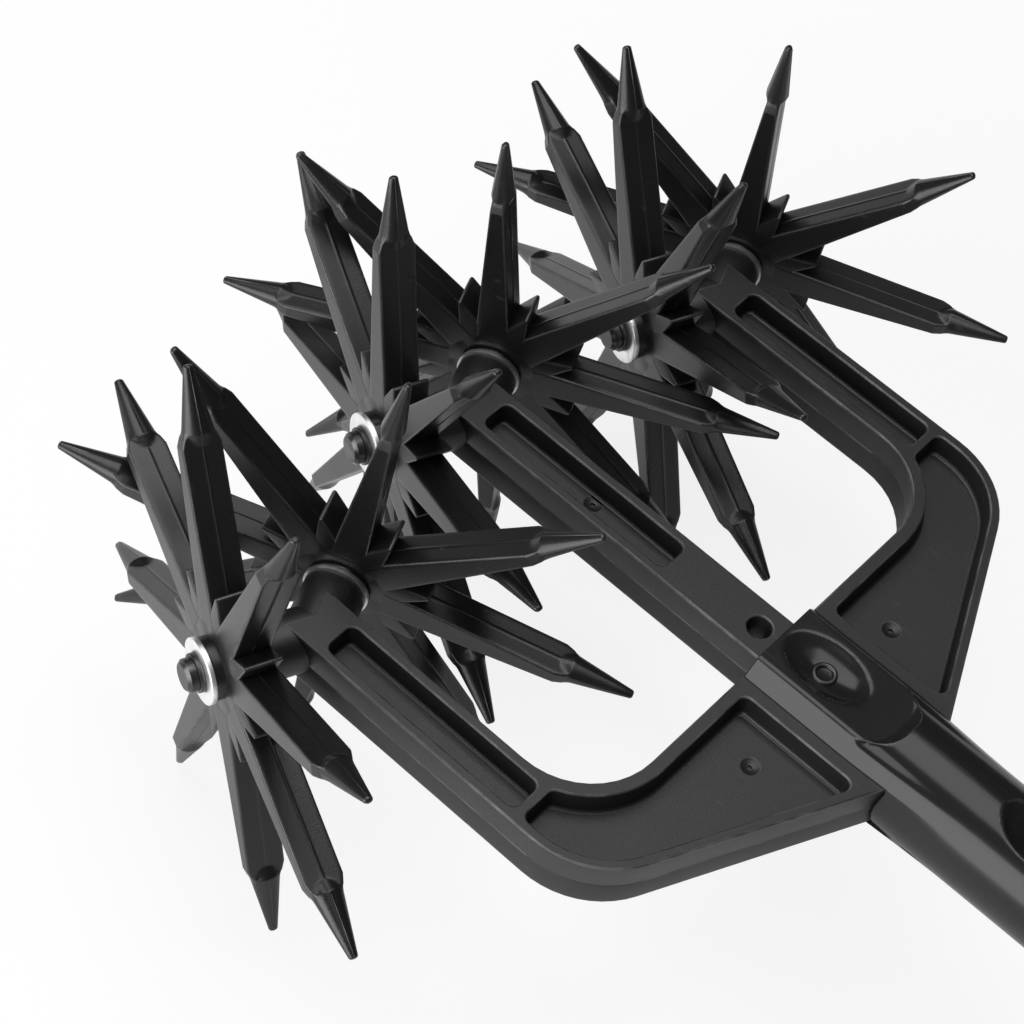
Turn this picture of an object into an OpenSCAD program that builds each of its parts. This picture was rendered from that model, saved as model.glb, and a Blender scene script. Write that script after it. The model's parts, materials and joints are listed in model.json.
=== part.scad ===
// Rotary hand cultivator. Six star wheels with eight tines each turn loosely on three bent
// axles at the front of a moulded fork, and a long steel tube is riveted over the fork's tang.
// Millimetres. +Y runs forward along the handle, +Z is up and X runs across the wheels.
// The origin lies on the ground, below the middle of the tool's length.

/* [Tine wheels] */
// Radius from the axle to the points of the tines
wheel_r = 72.5; // [68:0.5:78]
// Length by which neighbouring wheels reach past the line where they cross
mesh_depth = 23; // [21:0.5:25]
// Width of a tine along the axle
tine_width = 9.4; // [8:0.1:10]
// Thickness of a tine where it leaves the hub
tine_root_t = 8.1; // [6.5:0.1:8.6]
// Thickness of a tine at its shoulder
tine_neck_t = 3.6; // [3:0.1:4]
// Length of the round point beyond the shoulder
point_len = 15.5; // [13:0.1:18]
// Diameter of the round point at its base
point_base_d = 7.4; // [6.6:0.1:8]
// Thickness of the point as a share of its width
point_flat = 0.74; // [0.6:0.02:1]
// Diameter of the blunt end of the point
point_tip_d = 2.1; // [1.4:0.1:2.8]
// Length over which the shoulder slopes in to the point
shoulder_len = 3; // [2:0.1:4]
// Length over which the base of the point fades back into the tine
fade_len = 5; // [2.5:0.5:7]
// Radius at which the tines leave the hub
root_r = 16; // [14:0.5:17]
// Radius of the small teeth between the tines
tooth_r = 24; // [21:0.5:26]
// Diameter of the hub ring
hub_d = 15; // [13:0.5:16]
// Length by which the hub stands out toward the arm
hub_in = 0.5; // [0.4:0.1:1.5]
// Length by which the hub stands out on the outside
hub_out = 2.2; // [1.5:0.1:3]

/* [Turn of the wheels] */
// Turn of each wheel from upright toward the front, from left to right
wheel_turn = [-13.5, -4, 18, 8, -13.5, 3.5]; // [-22.5:0.5:22.5]

/* [Axles] */
// Diameter of the axle rod
axle_d = 8; // [7:0.5:9]
// Angle by which each axle end is bent forward
axle_sweep = 22; // [20:0.5:24]
// Diameter of the washers
washer_d = 16; // [14:0.5:18]
// Thickness of a washer
washer_t = 1.2; // [0.8:0.1:1.6]
// Diameter of the retaining clips
clip_d = 9.4; // [9.1:0.1:10.6]
// Thickness of a retaining clip
clip_t = 1.2; // [0.8:0.1:1.6]
// Width of the opening in a retaining clip
clip_mouth = 4; // [3:0.1:5]
// Depth of the groove that holds a retaining clip
groove_depth = 0.6; // [0.4:0.1:0.8]
// Length of the axle beyond its clip
axle_tail = 2.6; // [1:0.1:4]
// Chamfer on the ends of the axle
axle_chamfer = 0.8; // [0.4:0.1:1.2]

/* [Fork] */
// Thickness of the fork
fork_t = 15; // [13:0.5:17]
// Thickness of the web at the bottom of the pockets
web_t = 3; // [2:0.5:5]
// Width of the rim round the pockets
rim = 2.5; // [2:0.1:3.2]
// Width of the rim along the front edge of the side plates and beside the tube
front_rim = 3.4; // [2.8:0.1:4]
// Width of the arms
arm_w = 14; // [12.5:0.5:15.5]
// Distance by which the centre arm reaches beyond the outer arms
centre_lead = 18.6; // [16:0.2:20]
// Distance from the outer axles back to the front edge of the side plates
plate_back = 77; // [72:0.5:84]
// Depth of the side plates at their outer corner
plate_depth = 10; // [8:0.5:14]
// Angle by which the rear edge of the side plates runs back toward the tube
plate_sweep = 24.6; // [22:0.2:27]
// Radius of the outer corner of the side plates
corner_r = 24.5; // [20:0.5:28]
// Radius between an outer arm and its side plate
inner_r = 20.5; // [17:0.5:24]
// Distance from the front edge of the side plates to the cross rib of the outer arms
rib_lead = 12; // [9:0.5:15]
// Radius of the pocket corners
pocket_r = 2.2; // [1.6:0.2:3]
// Distance from an axle back to the arm's pocket
pocket_back = 6.8; // [5:0.1:9]
// Length of the pocket in the centre arm
centre_pocket_len = 57; // [45:0.5:65]
// Diameter of the hole through the centre arm
arm_hole_d = 6.2; // [5:0.2:7]
// Distance from the hole in the centre arm to the front edge of the side plates
arm_hole_lead = 5.7; // [4.5:0.1:9]
// Length of the tang beyond the rear rivet
tang_tail = 12.5; // [9:0.5:20]

/* [Handle tube] */
// Outer diameter of the tube
tube_d = 28.6; // [27:0.2:30]
// Wall of the tube
tube_wall = 1.4; // [1:0.1:1.8]
// Length of the tube
tube_len = 1180; // [900:10:1400]
// Gap between the centre arm's shoulder and the tube
tube_setback = 0.3; // [0:0.1:1]
// Height of the pressed flat above the axis of the tube
flat_h = 12; // [11.2:0.1:12.6]
// Width of the pressed flat
flat_w = 19.6; // [18:0.2:21]
// Length of the pressed flat
flat_len = 36; // [32:0.5:40]
// Radius of the corners at the end of the pressed flat
flat_corner_r = 8; // [5:0.5:9]
// Width of the tube across the edges of its slit
saddle_w = 27.2; // [26:0.2:29]
// Length of a rivet dimple
dimple_len = 23.4; // [20:0.2:25]
// Width of a rivet dimple
dimple_w = 14.4; // [13:0.2:15]
// Length of the slit that shows behind the side plates
slit_show = 0.5; // [0.2:0.1:2]

/* [Rivets] */
// Diameter of the rivet shanks
rivet_d = 5; // [4:0.1:6]
// Diameter of the rolled end of a rivet
rivet_roll_d = 6.4; // [6:0.1:7]
// Height of the rolled end of a rivet
rivet_roll_h = 0.8; // [0.5:0.1:1.2]
// Diameter of the hollow in the rolled end
rivet_hollow_d = 3.6; // [3:0.1:3.9]
// Depth of the hollow in the rolled end
rivet_hollow_depth = 2.5; // [1.5:0.1:4]
// Diameter of a rivet head
rivet_head_d = 9; // [8:0.1:11]
// Height of a rivet head
rivet_head_h = 1.8; // [1.2:0.1:2.4]
// Distance from the front edge of the tube to the front rivet
rivet_back = 12.9; // [12.5:0.1:15]
// Distance between the two rivets
rivet_pitch = 62.3; // [55:0.1:75]

/* [Hand grip] */
// Length of the tube that the grip covers
grip_cover = 125; // [100:5:160]
// Wall of the grip sleeve
grip_wall = 2.6; // [2:0.1:4]
// Height of the collars at the two ends of the sleeve
collar_h = 1.6; // [1:0.1:3]
// Length of a collar
collar_len = 7; // [5:0.5:12]
// Thickness of the closed end of the grip
grip_end_t = 4; // [3:0.5:8]
// Diameter of the hang hole
hang_d = 8; // [6:0.5:10]
// Width of material round the hang hole
hang_rim = 6; // [4:0.5:8]
// Thickness of the hang tab
hang_t = 10; // [8:0.5:14]

/* [Clearances] */
// Radial gap between a wheel and its axle
running_gap = 0.08; // [0.05:0.01:0.1]
// Gap at each side of a wheel hub
side_gap = 0.2; // [0.1:0.05:0.3]
// Gap between parts that are fitted to stay
seat_gap = 0.05; // [0.03:0.01:0.08]
// Radial gap between a washer and its axle
washer_gap = 0.2; // [0.1:0.05:0.3]

/* [Hidden] */
$fn = 64;
arm_count = 3;
wheel_count = 2 * arm_count;
tine_count = 8;
pitch = 360 / tine_count;
// Length by which a cut runs past the face it starts from
over = 1;
// Straight steps in each rounded corner of an outline
arc_steps = 12;

// Wheels that cross at this radius, in front of their own arm and behind between the arms
mesh_r = wheel_r - mesh_depth;
wheel_mid = mesh_r * tan(axle_sweep);
arm_x = 4 * mesh_r * sin(axle_sweep);
bar_end_r = wheel_r - point_len;
neck_r = bar_end_r - shoulder_len;
neck_taper = (tine_root_t - tine_neck_t) / (neck_r - root_r);
bar_end_t = tine_neck_t - neck_taper * shoulder_len;

// Places along an axle, from its bend outward
boss_end = wheel_mid - tine_width / 2 - hub_in - side_gap - washer_t;
outer_washer_at = wheel_mid + tine_width / 2 + hub_out + side_gap;
clip_at = outer_washer_at + washer_t + seat_gap;
axle_end = clip_at + clip_t + seat_gap + axle_tail;
boss_d = fork_t - 2 * seat_gap;
// Length by which the two halves of an axle run past each other at the bend
bend_lap = axle_d / 4;

// Fork outline, in the plane of the arms, with the outer axle bends at y = 0
plate_y = -plate_back;
corner_y = plate_y - plate_depth;
outer_x = arm_x + arm_w / 2;
inner_x = arm_x - arm_w / 2;
rib_y = plate_y + rib_lead;
pocket_x = saddle_w / 2 + front_rim;
centre_pocket_y = centre_lead - pocket_back - centre_pocket_len;
arm_hole_y = plate_y + arm_hole_lead;
pocket_depth = (fork_t - web_t) / 2;

// Tube, along -Y from its front edge
tube_y = plate_y - tube_setback;
tube_r = tube_d / 2;
bore_r = tube_r - tube_wall;
slit_h = fork_t / 2 + seat_gap;
floor_h = slit_h + tube_wall;
front_rivet_y = tube_y - rivet_back;
rear_rivet_y = front_rivet_y - rivet_pitch;
tang_y = rear_rivet_y - tang_tail;
rivet_hole_d = rivet_d + 2 * seat_gap;

// Grip, at the far end of the tube
tube_end_y = tube_y - tube_len;
grip_bore_r = tube_r + seat_gap;
grip_r = grip_bore_r + grip_wall;
grip_end_y = tube_end_y - seat_gap - grip_end_t;
hang_r = hang_d / 2 + hang_rim;
hang_y = grip_end_y - hang_rim - hang_d / 2;

// Place of the head in the part's frame
head_front_y = centre_lead + wheel_mid * sin(axle_sweep) + wheel_r * cos(axle_sweep);
head_back_y = hang_y - hang_r;
head_y = -(head_front_y + head_back_y) / 2;

// Rear edge of the side plates at x, drawn in by e
function rear_y(x, e = 0) = corner_y + (x - outer_x) * tan(plate_sweep) + e / cos(plate_sweep);

// Bend of the axle in arm a, counted from the left
function bend(a) = [(a - 2) * arm_x, a == 2 ? centre_lead : 0, 0];

// Points of a rounding of radius r at the corner b between a and c
function corner_arc(a, b, c, r) =
    let (
        u = (a - b) / norm(a - b),
        v = (c - b) / norm(c - b),
        half = acos(u * v) / 2,
        mid = b + (u + v) / norm(u + v) * r / sin(half),
        from = b + u * r / tan(half) - mid,
        to = b + v * r / tan(half) - mid,
        sweep = 180 - 2 * half
    )
    r == 0 ? [b] : [
        for (i = [0:arc_steps])
            mid + (from * sin(sweep * (1 - i / arc_steps)) + to * sin(sweep * i / arc_steps)) / sin(sweep)
    ];

// Points on a circle between two angles, without its ends
function arc_between(mid, r, from, to) = [
    for (i = [1:arc_steps - 1])
        mid + r * [cos(from + (to - from) * i / arc_steps), sin(from + (to - from) * i / arc_steps)]
];

// Outline through the points, with the corner at each rounded by its radius
function rounded(points, radii) = [
    for (i = [0:len(points) - 1])
        each corner_arc(
            points[(i + len(points) - 1) % len(points)], points[i],
            points[(i + 1) % len(points)], radii[i]
        )
];

// Arm that carries wheel w, and the side of the arm it is on
function arm_of(w) = ceil(w / 2);
function side_of(w) = w % 2 == 1 ? -1 : 1;

// Moves a piece from the head's own frame, at the outer axle bends, to the part's frame
module head() {
    translate([0, head_y, wheel_r]) children();
}

// Stands a piece drawn along Z on one half of an axle, outward from the bend of arm a
module on_stub(a, side, along = 0) {
    translate(bend(a))
        rotate([0, 0, side * axle_sweep])
            translate([side * along, 0, 0])
                rotate([0, side * 90, 0])
                    children();
}

// Ring along Z from its base
module ring(outer_d, bore_d, h) {
    difference() {
        cylinder(d = outer_d, h = h);
        translate([0, 0, -over]) cylinder(d = bore_d, h = h + 2 * over);
    }
}

// Right side plate with its arm, out from the middle of the fork
module side_plan() {
    polygon(rounded(
        [
            [0, plate_y], [inner_x, plate_y], [inner_x, 0],
            [outer_x, 0], [outer_x, rear_y(outer_x)], [0, rear_y(0)]
        ],
        [0, inner_r, 0, 0, corner_r, 0]
    ));
}

// Pocket of the right side plate. Its inner wall follows the rounding between plate and arm until
// it turns into the cross rib, which meets that rounding part of the way along.
module plate_pocket() {
    wall_r = inner_r + front_rim;
    wall_mid = [inner_x - inner_r, plate_y + inner_r];
    wall_y = plate_y - front_rim;
    top_y = rib_y - rim / 2;
    end_x = wall_mid[0] + sqrt(pow(wall_r + pocket_r, 2) - pow(wall_mid[1] - top_y + pocket_r, 2));
    end_mid = [end_x, top_y - pocket_r];
    meet = atan2(end_mid[1] - wall_mid[1], end_mid[0] - wall_mid[0]);
    right_x = outer_x - rim;
    polygon(concat(
        rounded(
            [
                [end_x, top_y], [right_x, top_y], [right_x, rear_y(right_x, rim)],
                [pocket_x, rear_y(pocket_x, rim)], [pocket_x, wall_y], [wall_mid[0], wall_y]
            ],
            [0, pocket_r, corner_r - rim, pocket_r, pocket_r, 0]
        ),
        arc_between(wall_mid, wall_r, -90, meet),
        [wall_mid + wall_r * [cos(meet), sin(meet)]],
        arc_between(end_mid, pocket_r, meet + 180, 90)
    ));
}

// Pocket along an arm at x, between two ends
module arm_pocket(x, back_y, front_y) {
    half_w = arm_w / 2 - rim;
    polygon(rounded(
        [[x - half_w, back_y], [x + half_w, back_y], [x + half_w, front_y], [x - half_w, front_y]],
        [pocket_r, pocket_r, pocket_r, pocket_r]
    ));
}

// Pockets of one face of the fork, in plan
module pocket_plan() {
    arm_pocket(0, centre_pocket_y, centre_lead - pocket_back);
    for (side = [0, 1]) {
        mirror([side, 0]) {
            plate_pocket();
            arm_pocket(arm_x, rib_y + rim / 2, -pocket_back);
        }
    }
}

// Outline of the fork, in plan
module fork_plan() {
    translate([-arm_w / 2, tang_y]) square([arm_w, centre_lead - tang_y]);
    for (side = [0, 1]) {
        mirror([side, 0]) side_plan();
    }
}

// Holes for the bent axles, along both halves of each
module axle_bores() {
    for (a = [1:arm_count]) {
        for (side = [-1, 1]) {
            on_stub(a, side)
                translate([0, 0, -bend_lap - seat_gap])
                    cylinder(d = axle_d + 2 * seat_gap, h = boss_end + bend_lap + seat_gap + over);
        }
    }
}

// One moulding: three arms with axle bosses, two side plates and the tang inside the tube
module fork() {
    color("#303030") head() difference() {
        union() {
            linear_extrude(fork_t, center = true) fork_plan();
            for (a = [1:arm_count], side = [-1, 1]) {
                on_stub(a, side) cylinder(d = boss_d, h = boss_end);
            }
        }
        for (face = [0, 1]) {
            mirror([0, 0, face])
                translate([0, 0, web_t / 2])
                    linear_extrude(pocket_depth + over) pocket_plan();
        }
        axle_bores();
        translate([0, arm_hole_y, 0]) cylinder(d = arm_hole_d, h = fork_t + 2 * over, center = true);
        rivet_holes();
    }
}

// Holes for the two rivets
module rivet_holes() {
    for (y = [front_rivet_y, rear_rivet_y]) {
        translate([0, y, 0]) cylinder(d = rivet_hole_d, h = tube_d + 2 * over, center = true);
    }
}

// Eight-sided section of the pressed front end, drawn in by wall, along -Y from the front edge
module saddle_prism(wall, length) {
    slope = (saddle_w - flat_w) / 2 / (flat_h - slit_h);
    edge_x = saddle_w / 2 - wall * sqrt(1 + slope * slope);
    top_h = flat_h - wall;
    top_x = edge_x - (top_h - slit_h) * slope;
    translate([0, tube_y, 0]) rotate([90, 0, 0]) linear_extrude(length) polygon([
        [-top_x, top_h], [top_x, top_h], [edge_x, slit_h], [edge_x, -slit_h],
        [top_x, -top_h], [-top_x, -top_h], [-edge_x, -slit_h], [-edge_x, slit_h]
    ]);
}

// Space above the pressed flat, grown by wall, from height h up
module flat_space(wall, h) {
    r = flat_corner_r + wall;
    half_w = flat_w / 2 + wall;
    back_y = tube_y - flat_len - wall;
    translate([0, 0, h]) linear_extrude(tube_d) {
        translate([-half_w, back_y + r]) square([2 * half_w, tube_y + over - back_y - r]);
        translate([r - half_w, back_y]) square([2 * (half_w - r), r]);
        for (x = [r - half_w, half_w - r]) {
            translate([x, back_y + r]) circle(r);
        }
    }
}

// Space of a rivet dimple at y, grown by wall, from height h up
module dimple_space(y, wall, h) {
    r = dimple_w / 2 + wall;
    reach = (dimple_len - dimple_w) / 2;
    translate([0, y, h]) linear_extrude(tube_d) {
        translate([-r, -reach]) square([2 * r, 2 * reach]);
        for (end_y = [-reach, reach]) {
            translate([0, end_y]) circle(r);
        }
    }
}

// What the press pushes in from above and below, grown by wall, with the flat and the dimples
module pressed_space(wall, top_h, dimple_h) {
    for (face = [0, 1]) {
        mirror([0, 0, face]) {
            flat_space(wall, top_h);
            dimple_space(front_rivet_y, wall, dimple_h);
            dimple_space(rear_rivet_y, wall, dimple_h);
        }
    }
}

// Slit through both sides of the tube, with an end that follows the rear edge of the side plates
module slit_space() {
    front_y = tube_y + over;
    side_y = rear_y(tube_d) - slit_show;
    linear_extrude(2 * slit_h, center = true) polygon([
        [-tube_d, front_y], [tube_d, front_y], [tube_d, side_y], [0, rear_y(0) - slit_show], [-tube_d, side_y]
    ]);
}

// Steel tube, slit and pressed flat over the fork at its front end
module handle_tube() {
    color("#1c1c1c") head() difference() {
        union() {
            translate([0, tube_y, 0]) rotate([90, 0, 0]) cylinder(d = tube_d, h = tube_len);
            saddle_prism(0, flat_len);
        }
        difference() {
            union() {
                translate([0, tube_y + over, 0])
                    rotate([90, 0, 0])
                        cylinder(r = bore_r, h = tube_len + 2 * over);
                saddle_prism(tube_wall, flat_len - tube_wall);
            }
            pressed_space(tube_wall, flat_h - tube_wall, slit_h);
        }
        pressed_space(0, flat_h, floor_h);
        slit_space();
        rivet_holes();
    }
}

// Rivet through the tube's two dimples and the tang, with a low head below
module rivet(y) {
    stem_h = floor_h + seat_gap;
    color("#3a3a3c") head() translate([0, y, 0]) difference() {
        union() {
            translate([0, 0, -stem_h]) cylinder(d = rivet_d, h = 2 * stem_h);
            translate([0, 0, stem_h]) cylinder(d = rivet_roll_d, h = rivet_roll_h);
            translate([0, 0, -stem_h - rivet_head_h])
                cylinder(d1 = rivet_d, d2 = rivet_head_d, h = rivet_head_h);
        }
        translate([0, 0, stem_h + rivet_roll_h - rivet_hollow_depth])
            cylinder(d = rivet_hollow_d, h = rivet_hollow_depth + over);
    }
}

// Moulded sleeve over the end of the tube, closed by a tab with a hang hole
module hand_grip() {
    front_y = tube_end_y + grip_cover;
    sleeve_len = front_y - grip_end_y;
    color("#262626") head() difference() {
        union() {
            translate([0, front_y, 0]) rotate([90, 0, 0]) cylinder(r = grip_r, h = sleeve_len);
            for (y = [front_y, grip_end_y + collar_len]) {
                translate([0, y, 0]) rotate([90, 0, 0]) cylinder(r = grip_r + collar_h, h = collar_len);
            }
            translate([0, hang_y, 0]) cylinder(r = hang_r, h = hang_t, center = true);
            translate([-hang_r, hang_y, -hang_t / 2]) cube([2 * hang_r, grip_end_y - hang_y + over, hang_t]);
        }
        translate([0, front_y + over, 0])
            rotate([90, 0, 0])
                cylinder(r = grip_bore_r, h = sleeve_len + over - grip_end_t);
        translate([0, hang_y, 0]) cylinder(d = hang_d, h = hang_t + 2 * over, center = true);
    }
}

// Half of a bent axle as a turned profile, with the clip groove and the end chamfer
module axle_half() {
    r = axle_d / 2;
    groove_r = r - groove_depth;
    groove_end = clip_at + clip_t + seat_gap;
    rotate_extrude() polygon([
        [0, -bend_lap], [r, -bend_lap], [r, clip_at - seat_gap], [groove_r, clip_at - seat_gap],
        [groove_r, groove_end], [r, groove_end], [r, axle_end - axle_chamfer],
        [r - axle_chamfer, axle_end], [0, axle_end]
    ]);
}

// Bent rod held in the end of arm a, carrying one wheel on each half
module axle(a) {
    color("#2c2c2e") head() {
        for (side = [-1, 1]) {
            on_stub(a, side) axle_half();
        }
    }
}

// Flat star of tines and teeth in the plane of the wheel
module star_plan() {
    polygon([
        for (k = [0:tine_count - 1])
            for (p = [
                [tooth_r * cos(pitch / 2), -tooth_r * sin(pitch / 2)],
                [root_r, -tine_root_t / 2], [bar_end_r, -bar_end_t / 2],
                [bar_end_r, bar_end_t / 2], [root_r, tine_root_t / 2]
            ])
                [p[0] * cos(k * pitch) - p[1] * sin(k * pitch), p[0] * sin(k * pitch) + p[1] * cos(k * pitch)]
    ]);
}

// Moulded star wheel: flat tapered tines that end in round points, and a hub ring
module tine_wheel(w) {
    half_w = tine_width / 2;
    end_h = point_base_d / 2;
    hub_len = tine_width + hub_in + hub_out;
    hub_mid = side_of(w) * (hub_in - hub_out) / 2;
    turn = wheel_turn[w - 1];
    color("#3c3c3c") head() translate(bend(arm_of(w))) rotate([0, 0, side_of(w) * axle_sweep])
        translate([side_of(w) * wheel_mid, 0, 0]) rotate([0, -90, 0]) rotate(turn) difference() {
            union() {
                intersection() {
                    linear_extrude(tine_width, center = true) star_plan();
                    rotate_extrude() polygon([
                        [0, -half_w], [neck_r, -half_w], [bar_end_r, -end_h],
                        [bar_end_r, end_h], [neck_r, half_w], [0, half_w]
                    ]);
                }
                for (k = [0:tine_count - 1]) {
                    rotate(k * pitch) rotate([0, 90, 0]) scale([1, point_flat, 1]) {
                        translate([0, 0, bar_end_r]) cylinder(d1 = point_base_d, d2 = point_tip_d, h = point_len);
                        translate([0, 0, bar_end_r - fade_len])
                            cylinder(d1 = bar_end_t, d2 = point_base_d, h = fade_len);
                    }
                }
                translate([0, 0, hub_mid]) cylinder(d = hub_d, h = hub_len, center = true);
            }
            translate([0, 0, hub_mid])
                cylinder(d = axle_d + 2 * running_gap, h = hub_len + 2 * over, center = true);
        }
}

// Washer between the arm's boss and wheel w
module inner_washer(w) {
    color("#c4c6c8") head() on_stub(arm_of(w), side_of(w), boss_end)
        ring(washer_d, axle_d + 2 * washer_gap, washer_t);
}

// Washer outside wheel w
module outer_washer(w) {
    color("#c4c6c8") head() on_stub(arm_of(w), side_of(w), outer_washer_at)
        ring(washer_d, axle_d + 2 * washer_gap, washer_t);
}

// Open ring sprung into the groove outside wheel w
module axle_clip(w) {
    color("#202022") head() on_stub(arm_of(w), side_of(w), clip_at) difference() {
        ring(clip_d, axle_d - 2 * groove_depth + 2 * seat_gap, clip_t);
        translate([-clip_d, -clip_mouth / 2, -over]) cube([clip_d, clip_mouth, clip_t + 2 * over]);
    }
}

fork();
handle_tube();
rivet(front_rivet_y);  // front_rivet
rivet(rear_rivet_y);  // rear_rivet
hand_grip();
for (a = [1:arm_count]) {
    axle(a);
}
for (w = [1:wheel_count]) {
    tine_wheel(w);
    inner_washer(w);
    outer_washer(w);
    axle_clip(w);
}
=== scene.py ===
import json
from math import atan2, cos, hypot, pi, radians, sin, sqrt, tan

import bmesh
import bpy
from mathutils import Matrix, Vector


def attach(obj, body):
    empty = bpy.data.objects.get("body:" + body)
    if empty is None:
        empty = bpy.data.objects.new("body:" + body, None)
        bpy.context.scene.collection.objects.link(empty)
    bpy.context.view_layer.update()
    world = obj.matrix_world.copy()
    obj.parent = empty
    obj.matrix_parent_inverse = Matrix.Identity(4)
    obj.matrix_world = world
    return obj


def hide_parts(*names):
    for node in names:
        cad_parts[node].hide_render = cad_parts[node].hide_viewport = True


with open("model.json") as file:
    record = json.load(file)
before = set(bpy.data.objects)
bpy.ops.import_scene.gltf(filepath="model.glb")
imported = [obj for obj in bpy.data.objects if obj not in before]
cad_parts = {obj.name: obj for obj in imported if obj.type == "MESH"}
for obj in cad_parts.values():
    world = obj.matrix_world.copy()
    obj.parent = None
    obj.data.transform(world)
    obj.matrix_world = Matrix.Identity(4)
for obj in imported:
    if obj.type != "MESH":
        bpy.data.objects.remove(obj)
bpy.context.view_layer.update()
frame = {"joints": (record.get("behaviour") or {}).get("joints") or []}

# Fork: one black nylon moulding with three arms, a round axle boss on each side of an arm's end, and
# two side plates that run back to the tube. Both faces are cored to a thin web inside an even rim.
# Sizes are in millimetres, from the point midway between the bends of the two outer axles.
MM = 0.001
SPINS = {joint["child"]: joint for joint in frame["joints"]}
AXLE_SWEEP = radians(22)
FORK_HALF_T = 7.5
WEB_HALF_T = 1.5
RIM_W = 2.5
FRONT_RIM_W = 3.4
ARM_HALF_W = 7
NOSE_LAP = 1
BOSS_R = 7.45
BOSS_END = 13.4
AXLE_R = 4
AXLE_FIT = 0.05
SOCKET_DEPTH = 2
PLATE_FROM_X = 5
PLATE_Y = -77
PLATE_DEPTH = 10
PLATE_SWEEP = radians(24.6)
PLATE_CORNER_R = 24.5
PLATE_INNER_R = 20.5
RIB_Y = -65
POCKET_R = 2.2
POCKET_BACK = 6.8
POCKET_DRAFT = 0.35
POCKET_FILLET = 0.9
PLATE_POCKET_X = 17
CENTRE_POCKET_LEN = 57
ARM_HOLE_Y = -71.3
ARM_HOLE_R = 3.1
TANG_Y = -165
TANG_CORNER_R = 1
EDGE_R = 0.45
EDGE_LEAD = 0.25
PARTING_DEPTH = 0.14
CENTRE_GATE = (1.5, -20)
PLATE_GATE = (27.3, -92)
GATE_R = 2.5
# Insets and heights across a gate mark, from the rim of its dish into the pit at its middle
GATE_EDGE = [(0, 1.5), (0.25, 1.4), (0.8, 1.05), (1.7, 0.95), (1.8, 0.9), (1.9, 0.4)]


def hub_place(wheel):
    return Vector(SPINS[f"wheel_{wheel}"]["pos_m"]) / MM


def arm_bend(arm):
    """Where the two halves of an arm's axle meet, in millimetres from the tool's own origin."""
    left, right = hub_place(2 * arm - 1), hub_place(2 * arm)
    return (left + right) / 2 - Vector((0, (right - left).length / 2 * tan(AXLE_SWEEP), 0))


HEAD = Vector((0, arm_bend(1).y, arm_bend(1).z))
ARM_X = arm_bend(3).x
CENTRE_LEAD = arm_bend(2).y - HEAD.y
OUTER_X = ARM_X + ARM_HALF_W
INNER_X = ARM_X - ARM_HALF_W


def stub_frame(wheel, along=0):
    """Frame on an axle with +Z outward from the bend, so many millimetres along it."""
    side = -1 if wheel % 2 else 1
    place = arm_bend((wheel + 1) // 2) - HEAD
    return (Matrix.Translation(place) @ Matrix.Rotation(side * AXLE_SWEEP, 4, "Z")
            @ Matrix.Rotation(side * pi / 2, 4, "Y") @ Matrix.Translation((0, 0, along)))


def rear_y(x, inset=0):
    """Rear edge of the plates at a distance from the middle."""
    return PLATE_Y - PLATE_DEPTH + (x - OUTER_X) * tan(PLATE_SWEEP) + inset / cos(PLATE_SWEEP)


def rounded(corners, steps=10):
    """Outline through corners given as x, y and the radius that rounds each."""
    outline = []
    for i, (x, y, radius) in enumerate(corners):
        corner = Vector((x, y))
        if radius == 0:
            outline.append(corner)
            continue
        back = (Vector(corners[i - 1][:2]) - corner).normalized()
        ahead = (Vector(corners[(i + 1) % len(corners)][:2]) - corner).normalized()
        half = back.angle(ahead) / 2
        middle = corner + (back + ahead).normalized() * radius / sin(half)
        start = corner + back * radius / tan(half) - middle
        turn = (pi - 2 * half) * (1 if back.cross(ahead) < 0 else -1)
        outline += [middle + Matrix.Rotation(turn * k / steps, 2) @ start for k in range(steps + 1)]
    return outline


def arc(middle, radius, start, end, steps):
    """Points of an arc, without its start and with its end."""
    angles = [start + (end - start) * k / steps for k in range(1, steps + 1)]
    return [middle + radius * Vector((cos(a), sin(a))) for a in angles]


def circle(x, y, radius, steps=32):
    angles = [2 * pi * k / steps for k in range(steps)]
    return [Vector((x + radius * cos(a), y + radius * sin(a))) for a in angles]


def extruded(mesh, edges, move):
    """Pulls a ring of edges out once, moves each new vertex, and returns the new ring."""
    grown = bmesh.ops.extrude_edge_only(mesh, edges=edges)["geom"]
    ring = {item for item in grown if isinstance(item, bmesh.types.BMVert)}
    for vert in ring:
        vert.co = move(vert)
    return [item for item in grown if isinstance(item, bmesh.types.BMEdge) and set(item.verts) <= ring]


def swept(mesh, outline, profile):
    """Pulls an outline through a profile of insets and heights, and returns its first and last ring."""
    count = len(outline)
    area = sum(outline[i - 1].cross(outline[i]) for i in range(count))
    inward = []
    for i in range(count):
        sides = [outline[i] - outline[i - 1], outline[(i + 1) % count] - outline[i]]
        first, second = (Vector((-s.y, s.x)).normalized() * (1 if area > 0 else -1) for s in sides)
        inward.append((first + second) / (1 + first.dot(second)))
    place = mesh.verts.layers.int.get("place") or mesh.verts.layers.int.new("place")

    def at(i, inset, height):
        return (*(outline[i] + inward[i] * inset), height)

    verts = [mesh.verts.new(at(i, *profile[0])) for i in range(count)]
    for i, vert in enumerate(verts):
        vert[place] = i
    first = last = [mesh.edges.new((verts[i - 1], verts[i])) for i in range(count)]
    for inset, height in profile[1:]:
        last = extruded(mesh, last, lambda vert: at(vert[place], inset, height))
    return first, last


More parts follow.
